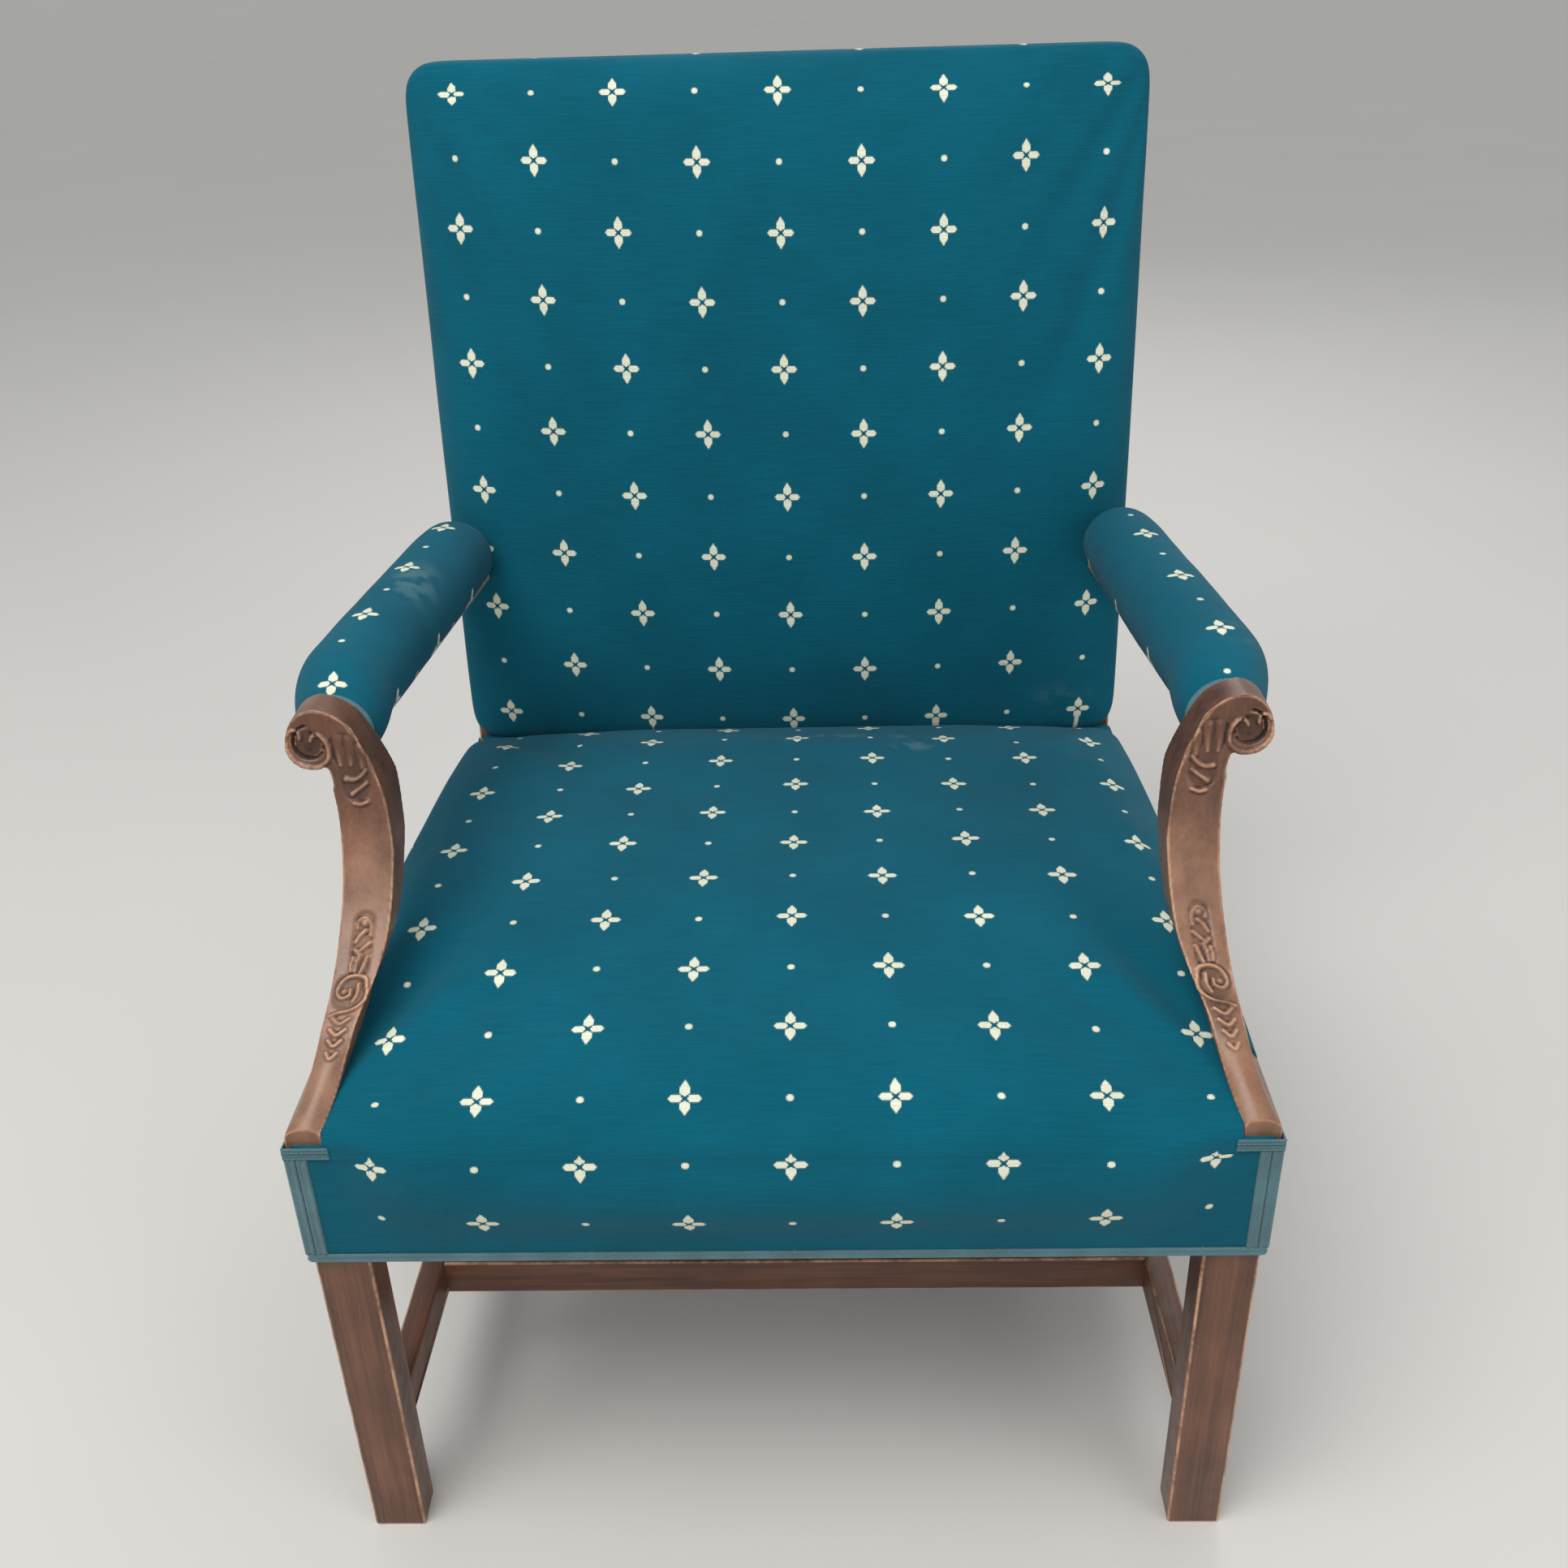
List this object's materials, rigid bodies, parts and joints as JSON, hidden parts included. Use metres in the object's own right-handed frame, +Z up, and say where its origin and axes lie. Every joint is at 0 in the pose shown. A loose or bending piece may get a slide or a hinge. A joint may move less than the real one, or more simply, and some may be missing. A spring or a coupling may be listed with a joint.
{
  "type": "open armchair",
  "caption": "Open armchair with a mahogany frame, padded arms on swept supports and a stuffed seat and back in blue patterned cloth.",
  "frame": {"origin": "on the floor, under the middle of the chair's bounding box", "axes": "+Z up, front of the chair towards -Y, +X to the right when looking at it from the front"},
  "size_m": [0.7204, 0.732, 1.003],
  "materials": {
    "mahogany": "dark_polished",
    "beech": "raw_sawn",
    "steel": "plain",
    "webbing": "jute_webbing",
    "hessian": "jute_hessian",
    "stuffing": "hair_and_wadding",
    "cover_cloth": "woven_with_motifs",
    "gimp": "flat_braid",
    "black_cloth": "plain_weave"
  },
  "bodies": {
    "root": {"front_leg_right": "mahogany", "front_leg_left": "mahogany", "back_post_right": "mahogany", "back_post_left": "mahogany", "side_stretcher_right": "mahogany", "side_stretcher_left": "mahogany", "cross_stretcher": "mahogany", "rear_stretcher": "mahogany", "arm_support_right": "mahogany", "arm_support_left": "mahogany", "front_seat_rail": "beech", "rear_seat_rail": "beech", "side_seat_rail_right": "beech", "side_seat_rail_left": "beech", "back_top_rail": "beech", "back_lower_rail": "beech", "arm_rail_right": "beech", "arm_rail_left": "beech", "corner_blocks": "beech", "corner_block_screws": "steel", "arm_screws": "steel", "seat_webbing": "webbing", "back_webbing": "webbing", "seat_hessian": "hessian", "back_hessian": "hessian", "seat_stuffing": "stuffing", "back_stuffing": "stuffing", "arm_stuffing_right": "stuffing", "arm_stuffing_left": "stuffing", "seat_cover": "cover_cloth", "back_cover": "cover_cloth", "outside_back_cover": "cover_cloth", "arm_cover_right": "cover_cloth", "arm_cover_left": "cover_cloth", "seat_gimp": "gimp", "arm_gimp_right": "gimp", "arm_gimp_left": "gimp", "bottom_cloth": "black_cloth"}
  },
  "joints": []
}
